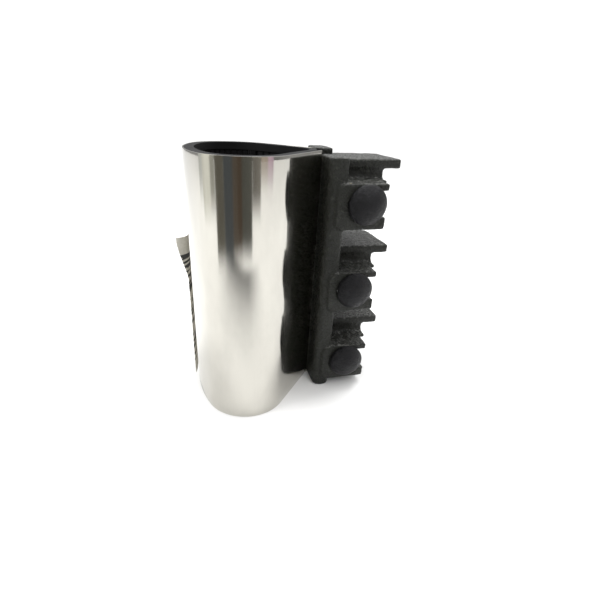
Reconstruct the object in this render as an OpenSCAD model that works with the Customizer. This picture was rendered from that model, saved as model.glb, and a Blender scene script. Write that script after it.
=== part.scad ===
// Full-circle pipe repair clamp: a stainless band with a rubber gasket, closed
// by two cast lugs and three track-head bolts. Millimetres, +Z along the pipe,
// +X out to the lugs, origin on the seated pipe's axis at the clamp's lower end.

/* [Band] */
// Thickness of the stainless sheet
band_t = 1; // [0.8:0.1:1.5]
// How far the band stands above the bolt lug
band_over = 2.5; // [0:0.5:6]
// Distance from the pipe axis to the outside of the flat back
back_x = 52; // [44:1:64]
// Radius of the flat back
back_r = 106; // [90:1:130]
// Half angle that the flat back sweeps
back_half_angle = 21.2; // [17:0.2:26]
// Outside radius of the two side bends
side_r = 32; // [26:1:40]
// Angle of each flank to the X axis
flank_angle = 50; // [46:1:55]
// Outside radius across the mouth of the band
mouth_r = 24; // [22:1:29]

/* [Gasket and bridge] */
// Thickness of the rubber gasket
gasket_t = 6.5; // [5:0.5:8]
// Length of the feathered lap in the gasket
lap_l = 34; // [24:1:38]
// Open slit between the two feathered ends
lap_gap = 0.6; // [0.4:0.1:1]
// Thickness of the bridge plate under the mouth
bridge_t = 1.2; // [0.8:0.1:1.6]
// How far the bridge plate runs along each flank
bridge_wing = 16; // [10:1:22]
// Set-back of the bridge plate from both ends of the band
bridge_inset = 3; // [1:0.5:8]

/* [Lugs] */
// Gap between the two lugs as supplied
lug_gap = 12; // [11:0.5:16]
// Width of a lug's upright bar
bar_w = 13.5; // [12:0.5:18]
// Depth of a lug's upright bar
bar_d = 24.5; // [22:0.5:30]
// How far the bar stands out from the mouth of the band
bar_stand = 5.2; // [5.2:0.1:8]
// Height of the raised pads on the bar
pad_h = 2; // [0.5:0.5:3]
// Depth of a boss along its bolt
boss_d = 20; // [16:1:24]
// Height of a boss above its bolt
boss_up = 14; // [14:0.5:17]
// Height of a boss below its bolt
boss_down = 17.8; // [16:0.2:20]
// Reach of the prongs past the bolt
prong_reach = 17.3; // [14:0.1:22]
// Thickness of a finger plate
finger_t = 6.6; // [4:0.2:8]
// Height of a finger plate's underside above its bolt
finger_up = 20.9; // [20.9:0.1:24]
// Reach of a finger plate past the bolt
finger_reach = 34.4; // [26:0.2:42]
// How far a finger plate runs beyond the middle of the gap
finger_back = 34; // [24:1:40]
// Step that the nut lug stands above the bolt lug
lug_step = 3; // [0:0.5:4]
// Diameter of the rods in the folded ends of the band
rod_d = 5.9; // [4.9:0.1:7]
// Wall between the rod channel and the gap
hook_lip = 3; // [2:0.5:5]
// Cast cover over the blind upper end of the rod channel
cap_t = 3; // [2:0.5:6]

/* [Bolts] */
// Distance between bolts
bolt_pitch = 63.5; // [52:0.5:80]
// Height of the lowest bolt above the foot of the lug
foot_margin = 24.5; // [22:0.5:32]
// Height of the lug above the top bolt
head_margin = 30; // [29:0.5:40]
// Bolt diameter
bolt_d = 15.875; // [12.7:0.1:19.1]
// Bolt length under the head
bolt_l = 101.6; // [90:0.1:120]
// Diameter of the domed head
head_d = 27.5; // [25:0.1:34]
// Height of the domed head
head_h = 8.5; // [6:0.1:11]
// Gap between the bar and the neck of a bolt
neck_gap = 1.3; // [0.8:0.1:6]
// How far the top bolt and its slots are set out from the other two
top_bolt_out = 1.7; // [0:0.1:6]
// Length of the flat sides of the oval neck
neck_flat = 6; // [3:0.5:8]
// Depth of the oval neck along the bolt
neck_d = 9; // [6:0.5:14]
// Nut size across flats
nut_af = 27; // [27:0.1:34]
// Nut height
nut_h = 15.5; // [12:0.1:19]
// Outside diameter of both washers
washer_d = 33.3; // [30:0.1:38]
// Thickness of the steel washer
washer_t = 2.6; // [1.8:0.1:4]
// Thickness of the slip washer
slip_t = 2; // [1:0.1:3]

/* [Label] */
// Height of the label's lower edge
label_z = 10; // [4:1:30]
// Height of the label
label_h = 114; // [60:1:120]
// Start of the label, along the band from the middle of the flat back
label_y = 5; // [4:1:12]
// Width of the label along the band
label_w = 27; // [20:1:28]
// Thickness of the label
label_t = 0.4; // [0.3:0.1:0.6]
// Radius of the peeled corner's curl
curl_r = 9; // [8:1:18]
// Height of the peeled corner
curl_h = 30; // [20:1:60]
// Angle that the peeled corner curls
curl_sweep = 80; // [40:5:100]

/* [Hidden] */
$fn = 96;
fine = 0.1;          // clearance between pieces that lie on each other
loose = 0.15;        // clearance between faces that slide
free = 0.8;          // clearance round a neck in its slot
thread_fit = 0.0625; // radial clearance of a nut on its bolt
bolt_count = 3;
wrap = 200;          // degrees that a folded end goes round its rod

lug_h = foot_margin + (bolt_count - 1) * bolt_pitch + head_margin;
band_h = lug_h + band_over;

// The band's outside as three tangent arcs and a flank, for the half at -Y
back_cx = back_r - back_x;
side_cx = back_cx - (back_r - side_r) * cos(back_half_angle);
side_cy = (back_r - side_r) * sin(back_half_angle);
flank = sin(flank_angle) * side_cx + cos(flank_angle) * side_cy + side_r;
mouth_cx = (flank - mouth_r) / sin(flank_angle);
mouth_x = mouth_cx + mouth_r * sin(flank_angle);
mouth_y = mouth_r * cos(flank_angle);

// Lugs, from the mouth of the band outwards
half_gap = lug_gap / 2;
bar_x0 = mouth_x + bar_stand;
bar_x1 = bar_x0 + bar_w;
bolt_x = bar_x1 + neck_gap + bolt_d / 2 + neck_flat / 2;
prong_x = bolt_x + prong_reach;
face_y = half_gap + bar_d + pad_h;
fold_r = rod_d / 2 + fine / 2;
hook_y = half_gap + hook_lip + band_t + fold_r;
hook_x = bar_x0 + fold_r + band_t + 1.5;
bend_x = (flank + fold_r - cos(flank_angle) * hook_y) / sin(flank_angle);
slot_h = bolt_d + 2 * free + 0.5;
pad_x = bar_x0 + 5.5;
pad_r = 6;
web_x = bolt_x + 21.8;
web_y0 = half_gap + 4;
fold_top = lug_h - cap_t - loose;

// Bolts are numbered from the top down
function bolt_z(i) = foot_margin + (bolt_count - i) * bolt_pitch;
function bolt_at(i) = bolt_x + (i == 1 ? top_bolt_out : 0);
function arc(cx, cy, r, a0, a1, n) =
    [for (k = [0:n]) [cx + r * cos(a0 + (a1 - a0) * k / n), cy + r * sin(a0 + (a1 - a0) * k / n)]];
function tail(points) = [for (k = [1:len(points) - 1]) points[k]];
function reverse(points) = [for (k = [len(points) - 1:-1:0]) points[k]];
function mirrored(points) = [for (p = points) [p[0], -p[1]]];

// Half outline at a depth inside the band's outside, from the flat back to the flank
function half_back(depth) = concat(
    arc(back_cx, 0, back_r - depth, 180, 180 + back_half_angle, 10),
    tail(arc(side_cx, -side_cy, side_r - depth, 180 + back_half_angle, 270 + flank_angle, 18)));
// The band's half turns into the lug and then round the rod
function half_band(depth) = concat(half_back(depth),
    arc(bend_x, -hook_y, fold_r + depth, 90 + flank_angle, 90, 5),
    arc(hook_x, -hook_y, fold_r + depth, 90, 90 - wrap, 20));
// The gasket's and the bridge plate's halves close across the mouth
function half_ring(depth) = concat(half_back(depth),
    arc(mouth_cx, 0, mouth_r - depth, flank_angle - 90, 0, 10));

module closed_outline(depth) {
    half = half_ring(depth);
    polygon(concat(half, tail(reverse(mirrored(tail(half))))));
}

module shell(outer, inner) {
    difference() {
        closed_outline(outer);
        closed_outline(inner);
    }
}

// A rectangle with its own radius at each corner, from the lower left round to the upper left
module rounded(x0, y0, x1, y1, r) {
    polygon(concat(
        arc(x0 + r[0], y0 + r[0], r[0], 180, 270, 6), arc(x1 - r[1], y0 + r[1], r[1], 270, 360, 6),
        arc(x1 - r[2], y1 - r[2], r[2], 0, 90, 6), arc(x0 + r[3], y1 - r[3], r[3], 90, 180, 6)));
}

// Extrudes an outline drawn in X and Z along Y, from y0 to y1
module along_y(y0, y1) {
    translate([0, y1, 0])
        rotate([90, 0, 0])
            linear_extrude(y1 - y0)
                children();
}

module band() {
    outside = half_band(0);
    inside = half_band(band_t);
    color("silver")
        difference() {
            linear_extrude(band_h)
                polygon(concat(reverse(mirrored(outside)), tail(outside),
                               reverse(inside), mirrored(tail(inside))));
            fold_notch(-face_y, 0);
            fold_notch(0, lug_step);
        }
}

// Cuts a folded end off below the cast cover of its lug
module fold_notch(y0, z0) {
    translate([bar_x0 - 2 * loose, y0, z0 + fold_top])
        cube([bar_w, face_y, band_h]);
}

// The lap is a feathered slit along the flank at +Y, cut square to the length of the lap
module lap_slit() {
    half = half_ring(band_t);
    inner = half_ring(band_t + gasket_t);
    along = [-cos(flank_angle), sin(flank_angle)];
    start = [mouth_x, mouth_y] + (bridge_wing + 3) * along;
    deep = (gasket_t + 2 * band_t + 3) * [-sin(flank_angle), -cos(flank_angle)];
    far = start + lap_l * along + deep;
    polygon([start, far, far + lap_gap * 5 * along, start + lap_gap * 5 * along]);
}

module gasket() {
    depth = band_t + fine + bridge_t + fine / 2;
    color("#161616")
        linear_extrude(band_h)
            difference() {
                shell(band_t, band_t + gasket_t);
                intersection() {
                    shell(-1, depth);
                    mouth_half(bridge_wing + 0.3);
                }
                lap_slit();
            }
}

// The part of the plan that lies on the lugs' side of the wings' ends
module mouth_half(wing) {
    translate([mouth_x - wing * cos(flank_angle), -2 * back_r])
        square([2 * back_r, 4 * back_r]);
}

module bridge_plate() {
    color("gainsboro")
        translate([0, 0, bridge_inset])
            linear_extrude(band_h - 2 * bridge_inset)
                intersection() {
                    shell(band_t + fine, band_t + fine + bridge_t);
                    mouth_half(bridge_wing);
                }
}

// A lug's upright bar
module bar(z0) {
    intersection() {
        translate([0, 0, z0])
            linear_extrude(lug_h)
                rounded(bar_x0, -face_y + pad_h, bar_x1, -half_gap, [5, 3, 1, 2]);
        along_y(-face_y - 1, 0)
            rounded(bar_x0, z0, bar_x1, z0 + lug_h, [2.5, 2.5, 1, 1]);
    }
}

// A slotted boss for bolt i, open away from the pipe
module boss(i) {
    z = bolt_z(i);
    slot_x = bolt_at(i) - neck_flat / 2 - 1;
    along_y(-face_y, boss_d - face_y)
        difference() {
            rounded(pad_x, z - boss_down, prong_x, z + boss_up, [pad_r, 1.5, 1.5, pad_r]);
            translate([slot_x, z])
                circle(d = slot_h);
            translate([slot_x, z - slot_h / 2])
                square([prong_x, slot_h]);
        }
}

// A finger plate on its web: a casting section swept along X, with a fillet at each change
module finger(z) {
    top = z + finger_up + finger_t;
    translate([0, 0, z])
        rotate([90, 0, 90]) {
            translate([0, 0, bar_x1 - 3])
                linear_extrude(web_x - bar_x1 + 3)
                    polygon(concat(
                        [[-half_gap, boss_up - 3], [-web_y0 - 8, boss_up - 3], [-web_y0 - 8, boss_up]],
                        arc(-web_y0 - 3, boss_up + 3, 3, 270, 360, 5),
                        [[-web_y0, finger_up + 1], [-half_gap, finger_up + 1]]));
            translate([0, 0, bar_x1 - 3])
                linear_extrude(bolt_x + finger_reach - bar_x1 + 3)
                    rounded(-web_y0 - 1, finger_up, -half_gap, finger_up + finger_t, [1.5, 0.5, 0.5, 1]);
        }
    translate([0, 0, z + finger_up])
        linear_extrude(finger_t)
            rounded(bar_x1 + 1.5, -half_gap - 2, bolt_x + finger_reach, finger_back, [0.5, 0.5, 4, 4]);
}

module bolt_lug() {
    color("#2f322e") {
        difference() {
            union() {
                bar(0);
                for (i = [1:bolt_count]) {
                    boss(i);
                    finger(bolt_z(i));
                }
            }
            lug_channel(0);
        }
    }
}

// The channel for the folded end and its rod, and the slit through which the band enters.
// Both are open at the foot, where the fold and its rod slide in, and blind at the top.
module lug_channel(z0) {
    deep = lug_h - cap_t + 1;
    translate([hook_x, -hook_y, z0 - 1])
        cylinder(h = deep, r = fold_r + band_t + loose);
    translate([bar_x0 - 3, fold_r - loose - hook_y - fine, z0 - 1])
        cube([hook_x - bar_x0 + 3, band_t + 2 * loose + fine, deep]);
}

// The nut lug is the mirror image, without fingers and with a step up
module nut_lug() {
    color("#2f322e")
        mirror([0, 1, 0])
            difference() {
                union() {
                    bar(lug_step);
                    for (i = [1:bolt_count])
                        boss(i);
                }
                lug_channel(lug_step);
            }
}

module lug_rod(y, z0) {
    color("dimgray")
        translate([hook_x, y, z0 + 1])
            cylinder(h = fold_top - 1, d = rod_d);
}

module bolt_lug_rod() {
    lug_rod(-hook_y, 0);
}

module nut_lug_rod() {
    lug_rod(hook_y, lug_step);
}

// A track-head bolt: domed head, oval neck that the slot keeps from turning, and a plain-drawn shank
module track_bolt(i) {
    rim = 2.5;
    cap = head_h - rim;
    dome = (head_d * head_d / 4 + cap * cap) / (2 * cap);
    color("#1d1e20")
        translate([bolt_at(i), -face_y - loose, bolt_z(i)])
            rotate([-90, 0, 0]) {
                translate([0, 0, -rim])
                    cylinder(h = rim, d = head_d);
                rotate_extrude()
                    polygon(concat([[0, -rim]], [for (k = [0:12])
                        dome * [sin(asin(head_d / 2 / dome) * (1 - k / 12)),
                                -cos(asin(head_d / 2 / dome) * (1 - k / 12))]
                        + [0, dome - head_h]]));
                cylinder(h = bolt_l, d = bolt_d);
                linear_extrude(neck_d)
                    for (side = [-1, 1])
                        translate([side * neck_flat / 2, 0])
                            circle(d = bolt_d);
                translate([-neck_flat / 2, -bolt_d / 2, 0])
                    cube([neck_flat, bolt_d, neck_d]);
            }
}

// Washers and nuts stack outwards from the nut lug's face
module washer_ring(i, y, thick, hole) {
    translate([bolt_at(i), y + thick, bolt_z(i)])
        rotate([90, 0, 0])
            difference() {
                cylinder(h = thick, d = washer_d);
                translate([0, 0, -1])
                    cylinder(h = thick + 2, d = hole);
            }
}

module slip_washer(i) {
    color("ivory")
        washer_ring(i, face_y + loose, slip_t, bolt_d + free);
}

module washer(i) {
    color("darkgray")
        washer_ring(i, face_y + loose + slip_t, washer_t, bolt_d + 2 * free);
}

module heavy_nut(i) {
    across = nut_af / cos(30);
    color("gray")
        translate([bolt_at(i), face_y + 2 * loose + slip_t + washer_t, bolt_z(i)])
            rotate([-90, 0, 0])
                difference() {
                    intersection() {
                        cylinder(h = nut_h, d = across, $fn = 6);
                        rotate_extrude()
                            polygon([[0, 0], [nut_af / 2, 0], [across / 2, 1.4],
                                     [across / 2, nut_h - 1.4], [nut_af / 2, nut_h], [0, nut_h]]);
                    }
                    translate([0, 0, -1])
                        cylinder(h = nut_h + 2, d = bolt_d + 2 * thread_fit);
                }
}

module bolt_1() {
    track_bolt(1);
}

module bolt_2() {
    track_bolt(2);
}

module bolt_3() {
    track_bolt(3);
}

module slip_washer_1() {
    slip_washer(1);
}

module slip_washer_2() {
    slip_washer(2);
}

module slip_washer_3() {
    slip_washer(3);
}

module washer_1() {
    washer(1);
}

module washer_2() {
    washer(2);
}

module washer_3() {
    washer(3);
}

module nut_1() {
    heavy_nut(1);
}

module nut_2() {
    heavy_nut(2);
}

module nut_3() {
    heavy_nut(3);
}

// A paper label on the flat back, with its upper corner peeled off the steel
module label() {
    skin = back_r + fine;
    start = label_y / skin * 180 / PI;
    end = start + label_w / skin * 180 / PI;
    curl_x = back_cx - (skin + curl_r) * cos(start);
    curl_y = (skin + curl_r) * sin(start);
    color("whitesmoke") {
        translate([0, 0, label_z])
            linear_extrude(label_h)
                polygon(concat(arc(back_cx, 0, skin + label_t, 180 - start, 180 - end, 8),
                               arc(back_cx, 0, skin, 180 - end, 180 - start, 8)));
        translate([0, 0, label_z + label_h - curl_h])
            linear_extrude(curl_h)
                polygon(concat(arc(curl_x, curl_y, curl_r, -start, -start - curl_sweep, 8),
                               arc(curl_x, curl_y, curl_r - label_t, -start - curl_sweep, -start, 8)));
    }
}

band();
gasket();
bridge_plate();
bolt_lug();
nut_lug();
bolt_lug_rod();
nut_lug_rod();
bolt_1();
bolt_2();
bolt_3();
slip_washer_1();
slip_washer_2();
slip_washer_3();
washer_1();
washer_2();
washer_3();
nut_1();
nut_2();
nut_3();
label();
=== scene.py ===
"""Pipe repair clamp: a polished band, its gasket and bridge plate, two cast lugs and three
track-head bolts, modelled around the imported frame. Metres, +Z along the pipe, +X to the lugs."""

import math

import bmesh
import bpy
from bpy.props import FloatProperty, FloatVectorProperty, IntProperty, PointerProperty
from mathutils import Matrix, Vector, noise


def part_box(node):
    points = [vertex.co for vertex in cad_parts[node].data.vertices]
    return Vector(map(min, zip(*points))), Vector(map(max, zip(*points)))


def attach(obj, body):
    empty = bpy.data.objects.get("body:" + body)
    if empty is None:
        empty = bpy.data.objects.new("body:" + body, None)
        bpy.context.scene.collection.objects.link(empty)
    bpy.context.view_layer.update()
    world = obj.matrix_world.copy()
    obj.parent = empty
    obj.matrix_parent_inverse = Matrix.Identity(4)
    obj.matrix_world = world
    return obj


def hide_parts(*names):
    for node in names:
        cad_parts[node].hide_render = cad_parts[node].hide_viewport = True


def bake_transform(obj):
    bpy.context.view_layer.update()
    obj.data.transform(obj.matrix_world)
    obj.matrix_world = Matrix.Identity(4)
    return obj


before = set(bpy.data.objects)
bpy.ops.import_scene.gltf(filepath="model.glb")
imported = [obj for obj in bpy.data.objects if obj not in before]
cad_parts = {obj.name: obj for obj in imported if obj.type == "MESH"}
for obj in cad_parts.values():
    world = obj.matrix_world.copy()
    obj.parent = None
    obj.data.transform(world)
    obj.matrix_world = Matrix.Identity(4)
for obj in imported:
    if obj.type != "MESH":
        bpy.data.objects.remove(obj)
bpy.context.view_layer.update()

bl_info = {
    "name": "Pipe repair clamp",
    "version": (1, 0, 0),
    "blender": (4, 5, 0),
    "location": "View3D > Sidebar > Clamp",
    "description": "Builds a full-circle pipe repair clamp around its packed frame",
    "category": "Add Mesh",
}

ROOT = "bolt_side"
MOVING = "nut_side"
BOLTS = (1, 2, 3)
SMALL = 1e-5

# Bolts: radius of the 5/8 in shank and its start under the head, height of the head, width of
# its chamfer, length of the neck's flat sides, depth of the neck, and steps in a turn of thread
BOLT_R = 0.015875 / 2
SHANK_START = 0.001
HEAD_HEIGHT = 0.0085
HEAD_CHAMFER = 0.0006
NECK_FLAT = 0.006
NECK_DEPTH = 0.009
THREAD_STEPS = 28

# Grain of the castings: fineness and share of each size
GRAINS = ((160, 0.55), (520, 0.45))

# Band: turn of each folded end, play round its rod, and where the cut for the lugs' covers
# starts in front of them
FOLD = math.radians(200)
ROD_PLAY = 0.00005
NOTCH_PLAY = 0.0003

# Gasket: play to the band and over the bridge plate, play of the recess for that plate along the
# flank, runs from the recess to the first and to the last end at the outer face, and half the
# width of a rib. The bridge plate has its own play to the band.
BAND_PLAY = 0.00004
BRIDGE_PLAY = 0.0002
WING_PLAY = 0.0005
FIRST_END = 0.0025
LAST_END = 0.002
HALF_RIB = 0.0006
PLATE_PLAY = 0.0001

# Label: height over the flat back, size of its waves, rows of its mesh, margin of its print, and
# the share of its height where the corner starts to peel, over how much, and how suddenly
LABEL_OVER = 0.0002
LABEL_WAVE = 0.00012
LABEL_ROWS = 54
LABEL_MARGIN = 0.012
PEEL_FROM = 0.74
PEEL_OVER = 0.22
PEEL_POWER = 1.3

# Lamps: name, place, aim, size and power
LAMPS = (
    ("window", (-1.1, -0.1, 0.9), (0, 0, 0.09), 0.8, 7),
    ("front", (0.35, -0.9, 1.0), (0.02, 0, 0.09), 0.5, 2.5),
    ("top", (0.25, 0.1, 1.0), (0.05, 0, 0.1), 0.25, 4.5),
)

# Surroundings: how far a direction leans along Z or Y, from and to, and the brightness at each,
# then the brightness that the camera sees
GLOW_HEIGHT = (0.12, 0.75, 0.38, 1.75)
GLOW_FRONT = (-0.9, 0.1, 0.3, 1.0)
BACKDROP = 1.1

# Veil on the floor, a painted shadow that only the steel mirrors: its corner and size, how far in
# front it starts, and over how much it darkens
VEIL_CORNER = (-0.36, -0.36, 0.001)
VEIL_SIZE = (0.50, 0.28)
VEIL_START = 0.08
VEIL_REACH = 0.26

# Flags that only the steel mirrors, round a point at the band's front. Each has its angles from
# and to, in degrees from -Y towards -X, its distance and its radiance. The foot of each flag
# fades in over a share of its distance.
FLAG_CENTRE = (-0.020, -0.058)
FLAG_HEIGHT = 0.45
FLAG_FADE = 0.10
FLAGS = (
    (122, 110, 0.75, (0.745, 0.765, 0.745)),
    (110, 87, 0.56, (1.02, 1.02, 0.94)),
    (87, 75, 0.60, (0.48, 0.48, 0.43)),
    (75, 54, 0.318, (0.165, 0.155, 0.128)),
    (54, 33, 0.305, (0.096, 0.105, 0.112)),
    (33, 22, 0.320, (0.134, 0.110, 0.088)),
    (22, 12, 0.325, (0.114, 0.085, 0.063)),
    (12, -11, 0.338, (0.118, 0.118, 0.105)),
    (-11, -30, 0.58, (0.234, 0.220, 0.197)),
    (-30, -46, 0.90, (0.505, 0.433, 0.368)),
    (-46, -60, 0.90, (0.66, 0.50, 0.60)),
)


# ---------------------------------------------------------------- settings


class BandSettings(bpy.types.PropertyGroup):
    """Plan of the band: three tangent arcs and a flank for each half"""

    thickness: FloatProperty(name="Sheet", description="Thickness of the stainless sheet",
                             default=0.001, min=0.0005, unit="LENGTH")
    back_r: FloatProperty(name="Back radius", description="Radius of the flat back",
                          default=0.106, min=0.05, unit="LENGTH")
    back_sweep: FloatProperty(name="Back sweep", description="Half angle that the flat back sweeps",
                              default=math.radians(21.2), subtype="ANGLE")
    side_r: FloatProperty(name="Side radius", description="Outside radius of the side bends",
                          default=0.032, min=0.01, unit="LENGTH")
    flank: FloatProperty(name="Flank angle", description="Angle of each flank to the X axis",
                         default=math.radians(50), subtype="ANGLE")
    mouth_r: FloatProperty(name="Mouth radius", description="Outside radius across the mouth",
                           default=0.024, min=0.01, unit="LENGTH")
    tint: FloatVectorProperty(name="Steel", description="Colour of the polished steel", size=3,
                              default=(0.568, 0.552, 0.505), min=0, max=1, subtype="COLOR")


class GasketSettings(bpy.types.PropertyGroup):
    """Rubber gasket with a waffle of ribs towards the pipe"""

    thickness: FloatProperty(name="Thickness", description="Thickness of the rubber",
                             default=0.0065, min=0.003, unit="LENGTH")
    cell: FloatProperty(name="Cell", description="Pitch of the ribs", default=0.0052,
                        min=0.003, unit="LENGTH")
    groove: FloatProperty(name="Groove", description="Depth of the cells between the ribs",
                          default=0.0009, min=0.0002, unit="LENGTH")
    lap: FloatProperty(name="Lap", description="Length of the feathered lap", default=0.034,
                       min=0.01, unit="LENGTH")
    wing: FloatProperty(name="Bridge wing", description="Run of the bridge plate along a flank",
                        default=0.016, min=0.005, unit="LENGTH")
    bridge: FloatProperty(name="Bridge plate", description="Thickness of the bridge plate",
                          default=0.0012, min=0.0005, unit="LENGTH")
    tint: FloatVectorProperty(name="Rubber", description="Colour of the rubber", size=3,
                              default=(0.005, 0.005, 0.0055), min=0, max=1, subtype="COLOR")


class CastingSettings(bpy.types.PropertyGroup):
    """Sand-cast lugs under dark enamel"""

    voxel: FloatProperty(name="Detail", description="Size of the smallest rounded detail",
                         default=0.0008, min=0.0005, unit="LENGTH")
    rounding: IntProperty(name="Rounding", description="Passes that round the edges",
                          default=9, min=0)
    grain: FloatProperty(name="Sand grain", description="Height of the rough cast skin",
                         default=0.00036, min=0, unit="LENGTH")
    tint: FloatVectorProperty(name="Enamel", description="Colour of the enamel", size=3,
                              default=(0.0135, 0.0145, 0.0115), min=0, max=1, subtype="COLOR")


class HardwareSettings(bpy.types.PropertyGroup):
    """Thread, head and colour of the track-head bolts"""

    pitch: FloatProperty(name="Thread pitch", description="Advance of one turn",
                         default=0.0254 / 11, min=0.001, unit="LENGTH")
    thread_depth: FloatProperty(name="Thread depth", description="Depth of the thread",
                                default=0.00125, min=0.0005, unit="LENGTH")
    thread_length: FloatProperty(name="Thread length", description="Threaded length of a bolt",
                                 default=0.048, min=0.02, unit="LENGTH")
    rim: FloatProperty(name="Head rim", description="Height of the straight rim under the dome",
                       default=0.0025, min=0.0005, unit="LENGTH")
    tint: FloatVectorProperty(name="Black oxide", description="Colour of the bolts", size=3,
                              default=(0.0085, 0.0085, 0.010), min=0, max=1, subtype="COLOR")


class LabelSettings(bpy.types.PropertyGroup):
    """Paper label with irregular bars and one peeled corner"""

    start: FloatProperty(name="Start", default=0.005, unit="LENGTH",
                         description="Run from the middle of the flat back to the label")
    width: FloatProperty(name="Width", description="Width along the band", default=0.027,
                         min=0.01, unit="LENGTH")
    curl_r: FloatProperty(name="Curl radius", description="Radius of the peeled corner",
                          default=0.009, min=0.005, unit="LENGTH")
    flap: FloatProperty(name="Flap", description="Width of the peeled edge", default=0.0135,
                        min=0.002, unit="LENGTH")
    lift: FloatProperty(name="Lift", description="Share of the curl that the lower edge keeps",
                        default=0.13, min=0.01, max=1)
    thickness: FloatProperty(name="Paper", description="Thickness of the paper", default=0.0003,
                             min=0.0001, unit="LENGTH")


class StageSettings(bpy.types.PropertyGroup):
    """Place, aim and lens of the camera"""

    place: FloatVectorProperty(name="Camera", description="Place of the camera", size=3,
                               default=(-0.0497, -0.2842, 0.2060), subtype="XYZ", unit="LENGTH")
    heading: FloatProperty(name="Heading", description="Turn of the camera from +Y towards +X",
                           default=math.radians(13.88), subtype="ANGLE")
    tilt: FloatProperty(name="Tilt", description="How far the camera looks down",
                        default=math.radians(27.09), subtype="ANGLE")
    roll: FloatProperty(name="Roll", description="Roll of the camera",
                        default=math.radians(2.24), subtype="ANGLE")
    lens: FloatProperty(name="Lens", description="Focal length in millimetres",
                        default=23.4, min=10)
    shift: FloatVectorProperty(name="Shift", description="Shift of the lens across and up",
                               size=2, default=(0.0283, 0.0202))


# ---------------------------------------------------------------- mesh helpers


def piece(name, bm, material, body=ROOT, nodes=()):
    """Makes an object of a bmesh, ties it to its body and hides its CAD nodes."""
    mesh = bpy.data.meshes.new(name)
    bm.to_mesh(mesh)
    bm.free()
    obj = bpy.data.objects.new(name, mesh)
    bpy.context.scene.collection.objects.link(obj)
    mesh.materials.append(material)
    if body:
        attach(obj, body)
    if nodes:
        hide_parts(*nodes)
    return obj


def apply_modifiers(obj):
    """Turns an object's live modifiers into plain mesh."""
    graph = bpy.context.evaluated_depsgraph_get()
    finished = bpy.data.meshes.new_from_object(obj.evaluated_get(graph))
    obj.modifiers.clear()
    obj.data = finished


def smooth(obj, angle=0.6):
    """Smooth faces, with edges sharper than an angle kept crisp."""
    bm = bmesh.new()
    bm.from_mesh(obj.data)
    for face in bm.faces:
        face.smooth = True
    for edge in bm.edges:
        edge.smooth = len(edge.link_faces) == 2 and edge.calc_face_angle(0) < angle
    bm.to_mesh(obj.data)
    bm.free()


def edges_of(geometry):
    """The edges among an operation's results."""
    return [item for item in geometry if isinstance(item, bmesh.types.BMEdge)]


def verts_of(geometry):
    """The vertices among an operation's results."""
    return [item for item in geometry if isinstance(item, bmesh.types.BMVert)]


def everything(bm):
    """All of a bmesh, for an operation that takes geometry."""
    return bm.verts[:] + bm.edges[:] + bm.faces[:]


def join(whole, part):
    """Adds a part to a bmesh and frees it."""
    mesh = bpy.data.meshes.new("part")
    part.to_mesh(mesh)
    part.free()
    whole.from_mesh(mesh)
    bpy.data.meshes.remove(mesh)


def upright(bm, x, y, z0, z1, rows):
    """A vertical line of vertices, the start of every swept wall."""
    verts = [bm.verts.new((x, y, z0 + (z1 - z0) * k / rows)) for k in range(rows + 1)]
    return [bm.edges.new(pair) for pair in zip(verts, verts[1:])]


def turn(bm, edges, x, y, angle, steps):
    """Sweeps the wall round a vertical axis at x, y."""
    swept = bmesh.ops.spin(bm, geom=edges, cent=(x, y, 0), axis=(0, 0, 1), angle=angle,
                           steps=steps, use_merge=False, use_duplicate=False)
    return edges_of(swept["geom_last"])


def run(bm, edges, dx, dy, steps=1):
    """Sweeps the wall straight on."""
    for _ in range(steps):
        swept = bmesh.ops.extrude_edge_only(bm, edges=edges)["geom"]
        bmesh.ops.translate(bm, verts=verts_of(swept), vec=(dx / steps, dy / steps, 0))
        edges = [e for e in edges_of(swept) if abs(e.verts[0].co.z - e.verts[1].co.z) > SMALL]
    return edges


def face_outwards(bm, centre):
    """Recalculates the normals, then turns them all so that a wall looks away from a centre."""
    bmesh.ops.remove_doubles(bm, verts=bm.verts, dist=SMALL)
    bmesh.ops.recalc_face_normals(bm, faces=bm.faces)
    score = sum(f.normal.dot(f.calc_center_median() - centre) * f.calc_area() for f in bm.faces)
    if score < 0:
        bmesh.ops.reverse_faces(bm, faces=bm.faces)


def copy_of(node):
    """A merged bmesh of a CAD node."""
    bm = bmesh.new()
    bm.from_mesh(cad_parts[node].data)
    bmesh.ops.remove_doubles(bm, verts=bm.verts, dist=SMALL)
    bmesh.ops.dissolve_limit(bm, angle_limit=0.001, verts=bm.verts, edges=bm.edges)
    return bm


def sheet(obj, thickness, side=-1):
    """Gives a swept wall its thickness, inwards or, with side 1, outwards."""
    solid = obj.modifiers.new("sheet", "SOLIDIFY")
    solid.thickness = thickness
    solid.offset = side


def edge_round(obj, width, segments=2, angle=0.6):
    """Rounds the sharp edges of a machined piece."""
    bevel = obj.modifiers.new("edges", "BEVEL")
    bevel.width = width
    bevel.segments = segments
    bevel.limit_method = "ANGLE"
    bevel.angle_limit = angle
    apply_modifiers(obj)
    smooth(obj)


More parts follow.
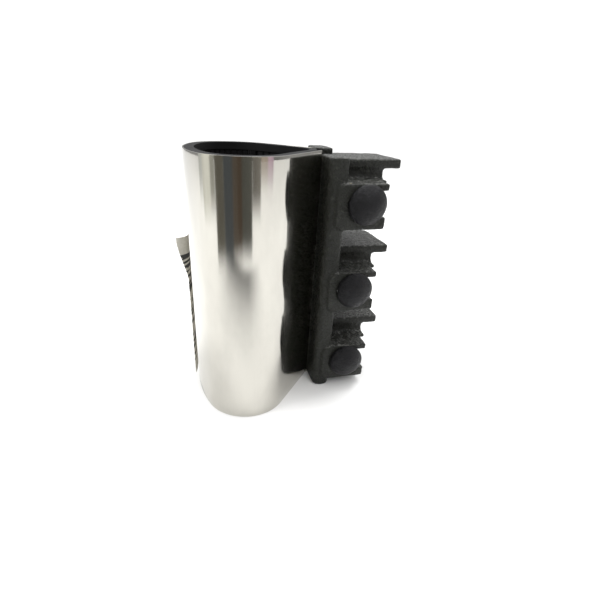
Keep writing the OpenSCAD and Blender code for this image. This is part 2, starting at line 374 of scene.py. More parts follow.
class Plan:
    """The band's plan, worked out from the settings and the frame: the same arcs as the CAD."""

    def __init__(self, settings):
        s = settings
        low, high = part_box("band")
        rod_low, rod_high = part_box("bolt_lug_rod")
        self.low, self.high = low.z, high.z
        self.back_x = -low.x
        self.back_r, self.side_r, self.mouth_r = s.back_r, s.side_r, s.mouth_r
        self.sweep, self.flank = s.back_sweep, s.flank
        self.back_cx = s.back_r - self.back_x
        self.side_cx = self.back_cx - (s.back_r - s.side_r) * math.cos(s.back_sweep)
        self.side_cy = (s.back_r - s.side_r) * math.sin(s.back_sweep)
        reach = math.sin(s.flank) * self.side_cx + math.cos(s.flank) * self.side_cy + s.side_r
        self.mouth_cx = (reach - s.mouth_r) / math.sin(s.flank)
        self.hook_x = (rod_low.x + rod_high.x) / 2
        self.hook_y = -(rod_low.y + rod_high.y) / 2
        self.fold_r = (rod_high.x - rod_low.x) / 2 + ROD_PLAY
        self.bend_x = (reach + self.fold_r - math.cos(s.flank) * self.hook_y) / math.sin(s.flank)

    def side_turn(self):
        """Angle that a side bend sweeps, from the flat back to the flank."""
        return math.pi / 2 + self.flank - self.sweep

    def flank_run(self, centre_x, centre_y):
        """Straight run of a flank, from the side bend to a tangent arc round a centre."""
        dx, dy = centre_x - self.side_cx, centre_y + self.side_cy
        return dx * math.cos(self.flank) + dy * math.sin(self.flank)


# ---------------------------------------------------------------- material helpers


class Nodes:
    """A short way to write a procedural material on Object coordinates."""

    def __init__(self, name, **sockets):
        self.material = bpy.data.materials.new(name)
        self.material.use_nodes = True
        self.tree = self.material.node_tree
        self.shader = self.tree.nodes["Principled BSDF"]
        for key, value in sockets.items():
            self.shader.inputs[key.replace("_", " ")].default_value = value
        self.place = self.tree.nodes.new("ShaderNodeTexCoord").outputs["Object"]

    def link(self, source, target):
        """Connects two sockets."""
        self.tree.links.new(source, target)

    def stretched(self, scale):
        """Object coordinates with their own scale along each axis."""
        mapping = self.tree.nodes.new("ShaderNodeMapping")
        mapping.inputs["Scale"].default_value = scale
        self.link(self.place, mapping.inputs["Vector"])
        return mapping.outputs["Vector"]

    def noise(self, scale, detail=4, rough=0.6, stretch=(1, 1, 1)):
        """Noise from 0 to 1, stretched along the axes that have a small factor."""
        node = self.tree.nodes.new("ShaderNodeTexNoise")
        node.inputs["Scale"].default_value = scale
        node.inputs["Detail"].default_value = detail
        node.inputs["Roughness"].default_value = rough
        self.link(self.stretched(stretch), node.inputs["Vector"])
        return node.outputs["Fac"]

    def ramp(self, source, stops):
        """Colours or greys for a value, from (value, colour) stops in rising order."""
        node = self.tree.nodes.new("ShaderNodeValToRGB")
        ramp = node.color_ramp
        while len(ramp.elements) < len(stops):
            ramp.elements.new(0.5)
        for element, (at, colour) in zip(ramp.elements, stops):
            element.position = at
            element.color = (*colour, 1) if hasattr(colour, "__len__") else (colour,) * 3 + (1,)
        self.link(source, node.inputs["Fac"])
        return node.outputs["Color"]

    def mix(self, factor, a, b):
        """Goes from colour a to colour b by a factor."""
        node = self.tree.nodes.new("ShaderNodeMix")
        node.data_type = "RGBA"
        for key, value in (("Factor", factor), ("A", a), ("B", b)):
            socket = node.inputs[key]
            if isinstance(value, bpy.types.NodeSocket):
                self.link(value, socket)
            elif hasattr(value, "__len__"):
                socket.default_value = (*value, 1)
            else:
                socket.default_value = value if socket.type == "VALUE" else (value,) * 3 + (1,)
        return node.outputs["Result"]

    def maths(self, operation, a, b):
        """An operation on two values, each a socket or a number."""
        node = self.tree.nodes.new("ShaderNodeMath")
        node.operation = operation
        for socket, value in ((node.inputs[0], a), (node.inputs[1], b)):
            if isinstance(value, bpy.types.NodeSocket):
                self.link(value, socket)
            else:
                socket.default_value = value
        return node.outputs["Value"]

    def part(self, vector, name):
        """One component of a vector."""
        node = self.tree.nodes.new("ShaderNodeSeparateXYZ")
        self.link(vector, node.inputs["Vector"])
        return node.outputs[name]

    def axis(self, name):
        """Object coordinate along an axis."""
        return self.part(self.place, name)

    def normal(self, name):
        """How far a face looks along an axis, from -1 to 1."""
        geometry = self.tree.nodes.new("ShaderNodeNewGeometry")
        return self.part(geometry.outputs["True Normal"], name)

    def colour(self, source):
        """Sets the base colour."""
        self.link(source, self.shader.inputs["Base Color"])

    def roughness(self, source):
        """Sets the roughness."""
        self.link(source, self.shader.inputs["Roughness"])

    def bump(self, source, distance, strength=1.0, after=None):
        """Bumps the surface by a height, on top of an earlier bump when one is given."""
        node = self.tree.nodes.new("ShaderNodeBump")
        node.inputs["Strength"].default_value = strength
        node.inputs["Distance"].default_value = distance
        self.link(source, node.inputs["Height"])
        if after:
            self.link(after, node.inputs["Normal"])
        self.link(node.outputs["Normal"], self.shader.inputs["Normal"])
        return node.outputs["Normal"]


def shade(colour, factor):
    """A colour, made lighter or darker."""
    return tuple(c * factor for c in colour)


def polished_steel(tint):
    """Mirror-rolled stainless: faint brushing along Z, smudges and a slight waviness."""
    m = Nodes("polished_steel", Metallic=1.0)
    brushing = m.noise(900, 3, 0.6, (1, 1, 0.012))
    smudges = m.noise(30, 6, 0.7, (1, 1, 0.45))
    grey = m.ramp(brushing, ((0.3, shade(tint, 0.985)), (0.7, shade(tint, 1.015))))
    m.colour(m.mix(m.ramp(smudges, ((0.42, 0.0), (0.66, 1.0))), grey, shade(tint, 0.9)))
    m.roughness(m.ramp(smudges, ((0.35, 0.09), (0.62, 0.14), (0.8, 0.22))))
    waves = m.bump(m.noise(14, 3, 0.5, (1, 1, 0.25)), 0.0008, 0.4)
    m.bump(brushing, 0.00002, 0.2, waves)
    return m.material


def gasket_rubber(tint):
    """Black rubber with a patchy bloom."""
    m = Nodes("gasket_rubber", Specular_IOR_Level=0.2)
    bloom = m.noise(60, 6, 0.65)
    m.colour(m.ramp(bloom, ((0.35, shade(tint, 0.8)), (0.75, shade(tint, 2.2)))))
    m.roughness(m.ramp(bloom, ((0.3, 0.55), (0.8, 0.8))))
    m.bump(m.noise(1500, 3), 0.00008, 0.5)
    return m.material


def cast_enamel(tint):
    """Dark enamel over sand-cast iron: grains lightened as painted sparkle highlights, painted
    glints on the faces that look up, chips.
    """
    m = Nodes("cast_enamel", Specular_IOR_Level=0.27)
    patches = m.noise(35, 5, 0.6)
    sand = m.noise(620, 6, 0.7)
    base = m.ramp(patches, ((0.3, shade(tint, 0.72)), (0.55, tint), (0.8, shade(tint, 1.5))))
    # Painted highlight: the high spots of the sand are lightened to stand in for sparkles of light.
    painted_sparkle_mask = m.ramp(sand, ((0.56, 0.0), (0.74, 1.0)))
    with_painted_sparkle = m.mix(painted_sparkle_mask, base, shade(tint, 5.5))
    chips = m.ramp(m.noise(150, 3, 0.5), ((0.745, 0.0), (0.76, 1.0)))
    # Painted highlight: specks on the faces that look up are lightened, as glints of the light from
    # above.
    painted_glint_mask = m.maths("MULTIPLY", m.ramp(m.normal("Z"), ((0.35, 0.0), (0.7, 1.0))),
                   m.ramp(m.noise(480, 5, 0.75), ((0.5, 0.0), (0.66, 1.0))))
    glints = m.mix(painted_glint_mask, with_painted_sparkle, (0.20, 0.20, 0.19))
    m.colour(m.mix(chips, glints, (0.34, 0.29, 0.13)))
    m.roughness(m.ramp(sand, ((0.3, 0.42), (0.7, 0.18))))
    skin = m.bump(m.noise(260, 5, 0.7), 0.0016, 0.9)
    m.bump(sand, 0.0006, 1.0, skin)
    return m.material


def black_oxide(name, tint, rough=0.42):
    """Forged steel, blackened and oiled."""
    m = Nodes(name, Metallic=0.0, Specular_IOR_Level=0.2)
    mottle = m.noise(140, 6, 0.62)
    scale = m.noise(330, 6, 0.75)
    base = m.ramp(mottle, ((0.3, shade(tint, 0.6)), (0.6, tint), (0.85, shade(tint, 2.6))))
    m.colour(m.mix(m.ramp(scale, ((0.6, 0.0), (0.8, 0.7))), base, shade(tint, 4.0)))
    m.roughness(m.ramp(mottle, ((0.3, rough - 0.1), (0.8, rough + 0.14))))
    dents = m.bump(mottle, 0.002, 0.8)
    m.bump(scale, 0.0012, 1.0, dents)
    return m.material


def bare_steel(name, tint, rough=0.34):
    """Zinc-dulled or drawn steel."""
    m = Nodes(name, Metallic=1.0)
    cloud = m.noise(90, 5, 0.6)
    m.colour(m.ramp(cloud, ((0.3, shade(tint, 0.75)), (0.75, shade(tint, 1.15)))))
    m.roughness(m.ramp(cloud, ((0.3, rough), (0.8, rough + 0.2))))
    m.bump(m.noise(900, 3), 0.00005, 0.4)
    return m.material


def nylon():
    """Natural nylon, slightly translucent."""
    m = Nodes("nylon", Specular_IOR_Level=0.4, Subsurface_Weight=0.15)
    cloud = m.noise(120, 4)
    m.colour(m.ramp(cloud, ((0.3, (0.62, 0.61, 0.55)), (0.8, (0.76, 0.75, 0.7)))))
    m.roughness(m.ramp(cloud, ((0.3, 0.42), (0.8, 0.58))))
    m.bump(m.noise(1200, 2), 0.00003, 0.4)
    return m.material


def label_paper():
    """Uncoated paper with irregular dark bars, clear of its ends, and soft creases."""
    m = Nodes("label_paper", Specular_IOR_Level=0.25)
    fibre = m.noise(900, 5, 0.7)
    paper = m.ramp(fibre, ((0.3, (0.50, 0.48, 0.42)), (0.7, (0.64, 0.62, 0.56))))
    low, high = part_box("label")
    bars = m.noise(520, 0, 0.5, (0.06, 0.06, 1.0))
    across = m.axis("Z")
    inside = m.maths("MULTIPLY", m.maths("GREATER_THAN", across, low.z + LABEL_MARGIN),
                     m.maths("LESS_THAN", across, high.z - LABEL_MARGIN))
    ink = m.maths("MULTIPLY", m.maths("GREATER_THAN", bars, 0.52), inside)
    m.colour(m.mix(ink, paper, (0.06, 0.06, 0.06)))
    m.roughness(m.ramp(fibre, ((0.3, 0.75), (0.8, 0.9))))
    m.bump(m.noise(70, 4), 0.0006, 0.4)
    return m.material


def stage_white():
    """Matt white paper for the floor."""
    m = Nodes("stage_white", Roughness=0.9, Specular_IOR_Level=0.1)
    m.colour(m.ramp(m.noise(3, 2), ((0.3, (0.9, 0.9, 0.895)), (0.7, (0.92, 0.92, 0.915)))))
    return m.material


# ---------------------------------------------------------------- operators


class CLAMP_OT_stage(bpy.types.Operator):
    """Set the camera, the white floor, the flags, the lamps and the surroundings"""

    bl_idname = "clamp.stage"
    bl_label = "Stage"

    def execute(self, context):
        s = context.scene.clamp_stage
        self.camera(context, s)
        self.floor()
        self.lights()
        self.world(context)
        context.scene.view_settings.view_transform = "Standard"
        return {"FINISHED"}

    def camera(self, context, s):
        """The camera, turned by its heading, tilt and roll."""
        data = bpy.data.cameras.new("camera")
        data.sensor_width = 36
        data.lens = s.lens
        data.shift_x, data.shift_y = s.shift
        data.clip_start = 0.01
        ahead = Vector((math.sin(s.heading) * math.cos(s.tilt),
                        math.cos(s.heading) * math.cos(s.tilt), -math.sin(s.tilt)))
        level = Vector((math.cos(s.heading), -math.sin(s.heading), 0))
        above = level.cross(ahead)
        right = math.cos(s.roll) * level + math.sin(s.roll) * above
        up = -math.sin(s.roll) * level + math.cos(s.roll) * above
        turned = Matrix((right, up, -ahead)).transposed().to_4x4()
        camera = bpy.data.objects.new("camera", data)
        camera.matrix_world = Matrix.Translation(s.place) @ turned
        context.scene.collection.objects.link(camera)
        context.scene.camera = camera

    def card(self, name, material, corner, across, up):
        """A flat card: the floor, the veil or a flag."""
        bm = bmesh.new()
        corner, across, up = Vector(corner), Vector(across), Vector(up)
        points = [corner, corner + across, corner + across + up, corner + up]
        bm.faces.new([bm.verts.new(p) for p in points])
        obj = piece(name, bm, material, body=None)
        return obj

    def floor(self):
        """The floor with its veil, and the flags that stand round the front."""
        self.card("floor", stage_white(), (-6, -6, 0), (12, 0, 0), (0, 12, 0))
        for k, (start, end, distance, radiance) in enumerate(FLAGS):
            m = Nodes(f"flag_{k}", Base_Color=(0, 0, 0, 1), Specular_IOR_Level=0.0,
                      Emission_Strength=1.0)
            streaks = m.noise(5, 2, 0.5, (1, 1, 0.2))
            m.link(m.ramp(streaks, ((0.3, shade(radiance, 0.85)), (0.7, shade(radiance, 1.15)))),
                   m.shader.inputs["Emission Color"])
            rise = m.maths("DIVIDE", m.axis("Z"), FLAG_FADE * distance)
            m.link(m.ramp(rise, ((0.0, 0.0), (0.5, 0.55), (1.0, 1.0))), m.shader.inputs["Alpha"])
            near, far = (Vector((FLAG_CENTRE[0] - distance * math.sin(angle),
                                 FLAG_CENTRE[1] - distance * math.cos(angle), 0))
                         for angle in (math.radians(start), math.radians(end)))
            flag = self.card(f"flag_{k}", m.material, near, far - near, (0, 0, FLAG_HEIGHT))
            self.mirrored_only(flag)
        self.fade()

    def fade(self):
        """A painted shadow: a dark veil over the floor, seen only in the steel, that darkens softly
        towards the nearest flags.
        """
        m = Nodes("fade", Base_Color=(0, 0, 0, 1), Specular_IOR_Level=0.0, Roughness=1.0)
        width, depth = VEIL_SIZE
        front = m.maths("MULTIPLY", m.axis("Y"), -1.0)
        ahead = m.maths("DIVIDE", m.maths("SUBTRACT", front, VEIL_START), VEIL_REACH)
        beside = m.maths("DIVIDE", m.maths("ADD", m.axis("X"), -VEIL_CORNER[0]), width)
        veil = m.maths("MULTIPLY",
                       m.ramp(ahead, ((0.0, 0.0), (0.35, 0.2), (0.6, 0.42), (0.95, 0.8))),
                       m.ramp(beside, ((0.0, 0.0), (0.25, 1.0), (0.7, 1.0), (1.0, 0.0))))
        m.link(veil, m.shader.inputs["Alpha"])
        self.mirrored_only(self.card("fade", m.material, VEIL_CORNER, (width, 0, 0), (0, depth, 0)))

    def mirrored_only(self, card):
        """Hides a card from the camera, from shadows and from soft light."""
        card.visible_camera = False
        card.visible_shadow = False
        card.visible_diffuse = False

    def lights(self):
        """The square lamps, each turned to its aim."""
        for name, place, aim, size, power in LAMPS:
            data = bpy.data.lights.new(name, "AREA")
            data.size = size
            data.energy = power
            light = bpy.data.objects.new(name, data)
            light.location = place
            ray = Vector(aim) - Vector(place)
            light.rotation_euler = ray.to_track_quat("-Z", "Y").to_euler()
            bpy.context.scene.collection.objects.link(light)

    def world(self, context):
        """White to the camera; to all else bright above and dim on the camera's side."""
        world = bpy.data.worlds.new("studio")
        world.use_nodes = True
        tree = world.node_tree
        background = tree.nodes["Background"]
        direction = tree.nodes.new("ShaderNodeTexCoord").outputs["Generated"]
        parts = tree.nodes.new("ShaderNodeSeparateXYZ")
        tree.links.new(direction, parts.inputs["Vector"])
        glow = tree.nodes.new("ShaderNodeMath")
        glow.operation = "MULTIPLY"
        for socket, axis, span in ((glow.inputs[0], "Z", GLOW_HEIGHT),
                                   (glow.inputs[1], "Y", GLOW_FRONT)):
            level = tree.nodes.new("ShaderNodeMapRange")
            for key, value in zip(("From Min", "From Max", "To Min", "To Max"), span):
                level.inputs[key].default_value = value
            tree.links.new(parts.outputs[axis], level.inputs["Value"])
            tree.links.new(level.outputs["Result"], socket)
        seen = tree.nodes.new("ShaderNodeLightPath").outputs["Is Camera Ray"]
        strength = tree.nodes.new("ShaderNodeMix")
        tree.links.new(seen, strength.inputs["Factor"])
        tree.links.new(glow.outputs["Value"], strength.inputs["A"])
        strength.inputs["B"].default_value = BACKDROP
        tree.links.new(strength.outputs["Result"], background.inputs["Strength"])
        background.inputs["Color"].default_value = (1, 1, 1, 1)
        context.scene.world = world


class CLAMP_OT_band(bpy.types.Operator):
    """Sweep the stainless band round its plan and fold its ends round the rods"""

    bl_idname = "clamp.band"
    bl_label = "Band"

    def notch(self, bm):
        """Cuts the ends of the band away above the rods, where the lugs have cast covers."""
        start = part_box("bolt_lug")[0].x - NOTCH_PLAY
        tops = [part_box(rod)[1].z for rod in ("bolt_lug_rod", "nut_lug_rod")]
        cuts = [((start, 0, 0), (1, 0, 0))] + [((0, 0, top), (0, 0, 1)) for top in tops]
        for place, normal in cuts:
            bmesh.ops.bisect_plane(bm, geom=everything(bm), plane_co=place, plane_no=normal)
        middles = [(f, f.calc_center_median()) for f in bm.faces]
        above = [f for f, middle in middles if middle.x > start and middle.z > tops[middle.y > 0]]
        bmesh.ops.delete(bm, geom=above, context="FACES")

    def execute(self, context):
        s = context.scene.clamp_band
        plan = Plan(s)
        bm = bmesh.new()
        wall = upright(bm, -plan.back_x, 0, plan.low, plan.high, 24)
        wall = turn(bm, wall, plan.back_cx, 0, plan.sweep, 24)
        wall = turn(bm, wall, plan.side_cx, -plan.side_cy, plan.side_turn(), 60)
        straight = plan.flank_run(plan.bend_x, -plan.hook_y)
        wall = run(bm, wall, straight * math.cos(plan.flank), straight * math.sin(plan.flank), 10)
        wall = turn(bm, wall, plan.bend_x, -plan.hook_y, -plan.flank, 8)
        wall = run(bm, wall, plan.hook_x - plan.bend_x, 0)
        turn(bm, wall, plan.hook_x, -plan.hook_y, -FOLD, 20)
        bmesh.ops.mirror(bm, geom=everything(bm), merge_dist=SMALL, axis="Y")
        self.notch(bm)
        face_outwards(bm, Vector((0, 0, plan.high / 2)))
        band = piece("band_shell", bm, polished_steel(s.tint), None)
        sheet(band, s.thickness)
        edge_round(band, 0.00018, 2, 1.2)
        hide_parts("band")
        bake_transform(band)
        return {"FINISHED"}


class CLAMP_OT_gasket(bpy.types.Operator):
    """Sweep the rubber gasket, press its waffle of ribs and feather its lap"""

    bl_idname = "clamp.gasket"
    bl_label = "Gasket"

    def wall(self, bm, plan, s, depth, mouth_depth, shift, z):
        """One face of the rubber, from the lap round by the back to the lap again."""
        cos, sin = math.cos(plan.flank), math.sin(plan.flank)
        step = mouth_depth - depth
        wing = s.wing + WING_PLAY
        full = plan.flank_run(plan.mouth_cx, 0)
        first = full - wing - FIRST_END - shift
        start_x = plan.side_cx + (plan.side_r - depth) * sin + first * cos
        start_y = plan.side_cy + (plan.side_r - depth) * cos - first * sin
        line = upright(bm, start_x, start_y, *z)
        line = run(bm, line, -first * cos, first * sin, 6)
        line = turn(bm, line, plan.side_cx, plan.side_cy, plan.side_turn(), 12)
        line = turn(bm, line, plan.back_cx, 0, 2 * plan.sweep, 14)
        line = turn(bm, line, plan.side_cx, -plan.side_cy, plan.side_turn(), 12)
        line = run(bm, line, (full - wing) * cos, (full - wing) * sin, 6)
        line = run(bm, line, -step * sin, step * cos)
        line = run(bm, line, wing * cos, wing * sin, 3)
        line = turn(bm, line, plan.mouth_cx, 0, math.pi - 2 * plan.flank, 8)
        line = run(bm, line, -wing * cos, wing * sin, 3)
        line = run(bm, line, step * sin, step * cos)
        rest = LAST_END + shift
        run(bm, line, -rest * cos, rest * sin, 6)

    def execute(self, context):
        s = context.scene.clamp_gasket
        plan = Plan(context.scene.clamp_band)
        outer = context.scene.clamp_band.thickness + BAND_PLAY
        inner = outer + s.thickness
        behind = outer + s.bridge + BRIDGE_PLAY
        rows = round((plan.high - plan.low) / s.cell)
        z = (plan.low, plan.high, rows)
        bm = bmesh.new()
        self.wall(bm, plan, s, inner, inner, s.lap, z)
        bmesh.ops.remove_doubles(bm, verts=bm.verts, dist=SMALL)
        cells = [f for f in bm.faces
                 if plan.low + s.cell < f.calc_center_median().z < plan.high - s.cell]
        rim = {v for v in bm.verts if any(e.is_boundary for e in v.link_edges)}
        cells = [f for f in cells if not rim.intersection(f.verts)]
        inward = sum(f.normal.dot(Vector((0, 0, f.calc_center_median().z)) - f.calc_center_median())
                     for f in cells)
        bmesh.ops.inset_individual(bm, faces=cells, thickness=HALF_RIB,
                                   depth=-s.groove if inward > 0 else s.groove)
        inner_edges = [e for e in bm.edges if e.is_boundary]
        known = set(inner_edges)
        self.wall(bm, plan, s, outer, behind, 0.0, z)
        outer_edges = [e for e in bm.edges if e.is_boundary and e not in known]
        bmesh.ops.bridge_loops(bm, edges=inner_edges + outer_edges)
        bmesh.ops.recalc_face_normals(bm, faces=bm.faces)
        gasket = piece("gasket_waffle", bm, gasket_rubber(s.tint), None)
        edge_round(gasket, 0.0003, 1, 0.9)
        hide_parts("gasket")
        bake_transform(gasket)
        return {"FINISHED"}


class CLAMP_OT_bridge(bpy.types.Operator):
    """Sweep the bridge plate that backs the gasket across the mouth"""

    bl_idname = "clamp.bridge"
    bl_label = "Bridge plate"

    def execute(self, context):
        s = context.scene.clamp_gasket
        plan = Plan(context.scene.clamp_band)
        low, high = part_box("bridge_plate")
        depth = context.scene.clamp_band.thickness + PLATE_PLAY
        cos, sin = math.cos(plan.flank), math.sin(plan.flank)
        radius = plan.mouth_r - depth
        bm = bmesh.new()
        wall = upright(bm, plan.mouth_cx + radius * sin - s.wing * cos,
                       -radius * cos - s.wing * sin, low.z, high.z, 12)
        wall = run(bm, wall, s.wing * cos, s.wing * sin, 4)
        wall = turn(bm, wall, plan.mouth_cx, 0, math.pi - 2 * plan.flank, 24)
        run(bm, wall, -s.wing * cos, s.wing * sin, 4)
        face_outwards(bm, Vector((0, 0, plan.high / 2)))
        plate = piece("bridge_sheet", bm, bare_steel("bridge_steel", (0.6, 0.59, 0.57), 0.25),
                      None)
        sheet(plate, s.bridge)
        edge_round(plate, 0.0002, 2, 1.2)
        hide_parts("bridge_plate")
        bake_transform(plate)
        return {"FINISHED"}


class CLAMP_OT_lugs(bpy.types.Operator):
    """Give the two lugs the rounded edges and the grain of sand castings"""

    bl_idname = "clamp.lugs"
    bl_label = "Lugs"

    def casting(self, name, node, body, material, s):
        """Rounds a lug by voxels and smoothing, then roughens it with two sizes of grain."""
        lug = piece(name, copy_of(node), material, body, (node,))
        remesh = lug.modifiers.new("skin", "REMESH")
        remesh.mode = "VOXEL"
        remesh.voxel_size = s.voxel
        soft = lug.modifiers.new("round", "SMOOTH")
        soft.factor = 0.5
        soft.iterations = s.rounding
        apply_modifiers(lug)
        bm = bmesh.new()
        bm.from_mesh(lug.data)
        bm.normal_update()
        for vert in bm.verts:
            grain = sum(share * noise.noise(vert.co * fine) for fine, share in GRAINS)
            vert.co += vert.normal * s.grain * grain
        for face in bm.faces:
            face.smooth = True
        bm.to_mesh(lug.data)
        bm.free()

    def execute(self, context):
        s = context.scene.clamp_casting
        enamel = cast_enamel(s.tint)
        self.casting("bolt_lug_casting", "bolt_lug", ROOT, enamel, s)
        self.casting("nut_lug_casting", "nut_lug", MOVING, enamel, s)
        return {"FINISHED"}


class CLAMP_OT_rods(bpy.types.Operator):
    """Chamfer the rods that lie in the folded ends of the band"""

    bl_idname = "clamp.rods"
    bl_label = "Rods"

    def execute(self, context):
        steel = bare_steel("rod_steel", (0.4, 0.4, 0.41))
        for node, body in (("bolt_lug_rod", ROOT), ("nut_lug_rod", MOVING)):
            rod = piece(node + "_turned", copy_of(node), steel, body, (node,))
            edge_round(rod, 0.0005)
        return {"FINISHED"}


class CLAMP_OT_bolts(bpy.types.Operator):
    """Forge the track-head bolts: domed head, oval neck, shank and a true helical thread"""

    bl_idname = "clamp.bolts"
    bl_label = "Bolts"

    def head(self, radius, rim):
        """The head, spun about Z: flat underneath, with a chamfer, a straight rim and a dome."""
        bm = bmesh.new()
        cap = HEAD_HEIGHT - rim
        ball = (radius ** 2 + cap ** 2) / (2 * cap)
        sweep = math.asin(radius / ball)
        profile = [bm.verts.new(place) for place in (
            (0, 0, 0), (radius - HEAD_CHAMFER, 0, 0), (radius, 0, -HEAD_CHAMFER),
            (radius, 0, -rim + HEAD_CHAMFER / 2))]
        for k in range(11):
            angle = sweep * (0.97 - 0.97 * k / 10)
            place = (ball * math.sin(angle), 0, ball * (1 - math.cos(angle)) - HEAD_HEIGHT)
            profile.append(bm.verts.new(place))
        chain = [bm.edges.new(pair) for pair in zip(profile, profile[1:])]
        bmesh.ops.spin(bm, geom=profile + chain, cent=(0, 0, 0), axis=(0, 0, 1),
                       angle=math.tau, steps=64, use_merge=True, use_duplicate=False)
        return bm

    def neck(self):
        """The oval neck: half a turn at each end and a straight run along each side."""
        bm = bmesh.new()
        wall = upright(bm, NECK_FLAT / 2, -BOLT_R, 0, NECK_DEPTH, 1)
        wall = turn(bm, wall, NECK_FLAT / 2, 0, math.pi, 24)
        wall = run(bm, wall, -NECK_FLAT, 0)
        wall = turn(bm, wall, -NECK_FLAT / 2, 0, math.pi, 24)
        run(bm, wall, NECK_FLAT, 0)
        return bm

    def thread(self, s, z0, z1):
        """A spiral of one thread form, trimmed flat at both ends."""
        bm = bmesh.new()
        root = BOLT_R - s.thread_depth
        forms = ((root, 0.0), (root, 0.12), (BOLT_R, 0.47), (BOLT_R, 0.65), (root, 1.0))
        profile = [bm.verts.new((r, 0, z0 - 2 * s.pitch + share * s.pitch)) for r, share in forms]
        chain = [bm.edges.new(pair) for pair in zip(profile, profile[1:])]
        turns = math.ceil((z1 - z0) / s.pitch) + 4
        bmesh.ops.spin(bm, geom=profile + chain, cent=(0, 0, 0), axis=(0, 0, 1),
                       dvec=(0, 0, s.pitch / THREAD_STEPS), angle=math.tau * turns,
                       steps=THREAD_STEPS * turns, use_merge=False, use_duplicate=False)
        bmesh.ops.remove_doubles(bm, verts=bm.verts, dist=SMALL)
        for z, side in ((z0, -1), (z1, 1)):
            cut = bmesh.ops.bisect_plane(bm, geom=everything(bm), plane_co=(0, 0, z),
                                         plane_no=(0, 0, side), clear_outer=True)
            bmesh.ops.edgenet_fill(bm, edges=edges_of(cut["geom_cut"]))
        return bm

    def shank(self, length):
        """The plain shank, which starts inside the neck and ends at the thread."""
        bm = bmesh.new()
        bmesh.ops.create_cone(bm, cap_ends=True, segments=64, radius1=BOLT_R, radius2=BOLT_R,
                              depth=length - SHANK_START)
        bmesh.ops.translate(bm, verts=bm.verts, vec=(0, 0, (length + SHANK_START) / 2))
        return bm

    def execute(self, context):
        s = context.scene.clamp_hardware
        forged = black_oxide("bolt_oxide", s.tint)
        for i in BOLTS:
            low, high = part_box(f"bolt_{i}")
            axis = (low + high) / 2
            under = low.y + HEAD_HEIGHT
            reach = high.y - under
            plain = reach - s.thread_length
            whole = bmesh.new()
            for part in (self.head((high.x - low.x) / 2, s.rim), self.neck(),
                         self.thread(s, plain, reach), self.shank(plain)):
                bmesh.ops.remove_doubles(part, verts=part.verts, dist=SMALL)
                bmesh.ops.holes_fill(part, edges=part.edges, sides=0)
                bmesh.ops.recalc_face_normals(part, faces=part.faces)
                join(whole, part)
            lay = Matrix.Rotation(-math.pi / 2, 4, "X")
            lay = Matrix.Translation((axis.x, under, axis.z)) @ lay
            bmesh.ops.transform(whole, matrix=lay, verts=whole.verts)
            bolt = piece(f"track_bolt_{i}", whole, forged, f"bolt_{i}_body",
                         (f"bolt_{i}",))
            smooth(bolt, 0.75)
        return {"FINISHED"}


class CLAMP_OT_washers(bpy.types.Operator):
    """Round the edges of the slip washers and the steel washers"""

    bl_idname = "clamp.washers"
    bl_label = "Washers"

    def execute(self, context):
        plastic = nylon()
        steel = bare_steel("washer_steel", (0.36, 0.36, 0.37))
        for i in BOLTS:
            for stem, material, slot in (("slip_washer", plastic, "slip_plastic"),
                                         ("washer", steel, "washer_steel")):
                node = f"{stem}_{i}"
                ring = piece(f"{stem}_ring_{i}", copy_of(node), material, f"washers_{i}",
                             (node,))
                edge_round(ring, 0.0003)
        return {"FINISHED"}


class CLAMP_OT_nuts(bpy.types.Operator):
    """Chamfer the heavy hexagon nuts"""

    bl_idname = "clamp.nuts"
    bl_label = "Nuts"

    def execute(self, context):
        black = black_oxide("nut_oxide", (0.04, 0.04, 0.045), 0.38)
        for i in BOLTS:
            nut = piece(f"hex_nut_{i}", copy_of(f"nut_{i}"), black, f"nut_{i}_body",
                        (f"nut_{i}",))
            edge_round(nut, 0.0004)
        return {"FINISHED"}


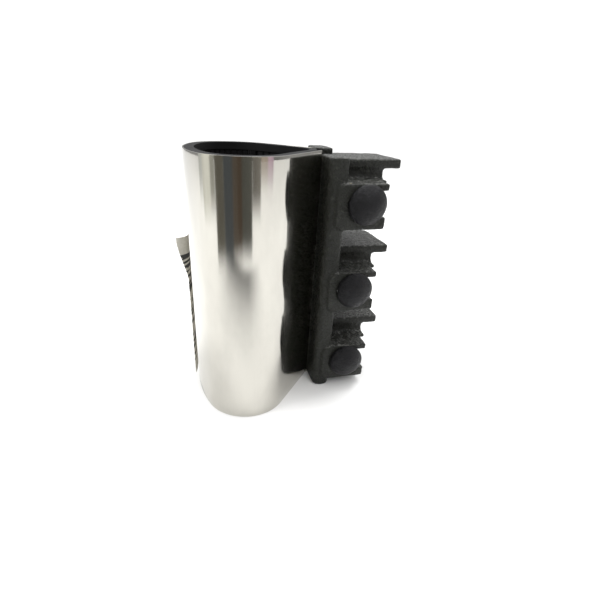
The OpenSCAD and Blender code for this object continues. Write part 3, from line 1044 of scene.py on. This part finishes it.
class CLAMP_OT_label(bpy.types.Operator):
    """Lay the paper label on the flat back and curl its peeled corner"""

    bl_idname = "clamp.label"
    bl_label = "Label"

    def execute(self, context):
        s = context.scene.clamp_label
        plan = Plan(context.scene.clamp_band)
        low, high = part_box("label")
        skin = plan.back_r + LABEL_OVER
        root = s.start / skin
        outward = Vector((-math.cos(root), math.sin(root), 0))
        along_back = Vector((-math.sin(root), -math.cos(root), 0))
        place = Vector((plan.back_cx, 0, 0)) + outward * skin
        bm = bmesh.new()
        wall = upright(bm, place.x, place.y, low.z, high.z, LABEL_ROWS)
        turn(bm, wall, plan.back_cx, 0, -s.width / skin, 16)
        flap = bmesh.new()
        run(flap, upright(flap, 0, 0, low.z, high.z, LABEL_ROWS), s.flap, 0, 14)
        for vert in flap.verts:
            rise = (vert.co.z - low.z) / (high.z - low.z)
            loose = max(0.0, min(1.0, (rise - PEEL_FROM) / PEEL_OVER)) ** PEEL_POWER
            peel = s.lift + (1 - s.lift) * loose
            bend = peel / s.curl_r
            out = (1 - math.cos(bend * vert.co.x)) / bend
            on = math.sin(bend * vert.co.x) / bend
            vert.co = place + outward * out + along_back * on + Vector((0, 0, vert.co.z))
        join(bm, flap)
        face_outwards(bm, Vector((0, 0, high.z / 2)))
        for vert in bm.verts:
            vert.co.x += LABEL_WAVE * noise.noise(vert.co * 90) - LABEL_WAVE
        paper = piece("paper_label", bm, label_paper(), None)
        sheet(paper, s.thickness, 1)
        apply_modifiers(paper)
        smooth(paper, 1.2)
        paper.visible_glossy = False
        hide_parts("label")
        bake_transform(paper)
        return {"FINISHED"}


class CLAMP_PT_panel(bpy.types.Panel):
    """Lists the clamp's pieces in the order in which they are made"""

    bl_idname = "CLAMP_PT_panel"
    bl_label = "Pipe repair clamp"
    bl_space_type = "VIEW_3D"
    bl_region_type = "UI"
    bl_category = "Clamp"

    def draw(self, context):
        for operator in OPERATORS:
            self.layout.operator(operator.bl_idname)


SETTINGS = {
    "clamp_band": BandSettings,
    "clamp_gasket": GasketSettings,
    "clamp_casting": CastingSettings,
    "clamp_hardware": HardwareSettings,
    "clamp_label": LabelSettings,
    "clamp_stage": StageSettings,
}
OPERATORS = (CLAMP_OT_stage, CLAMP_OT_band, CLAMP_OT_gasket, CLAMP_OT_bridge, CLAMP_OT_lugs,
             CLAMP_OT_rods, CLAMP_OT_bolts, CLAMP_OT_washers, CLAMP_OT_nuts, CLAMP_OT_label)


def register():
    for cls in (*SETTINGS.values(), *OPERATORS, CLAMP_PT_panel):
        bpy.utils.register_class(cls)
    for name, group in SETTINGS.items():
        setattr(bpy.types.Scene, name, PointerProperty(type=group))


def unregister():
    for name in SETTINGS:
        delattr(bpy.types.Scene, name)
    for cls in reversed((*SETTINGS.values(), *OPERATORS, CLAMP_PT_panel)):
        bpy.utils.unregister_class(cls)


def main():
    register()
    for operator in OPERATORS:
        group, name = operator.bl_idname.split(".")
        getattr(getattr(bpy.ops, group), name)()


if __name__ == "__main__":
    main()
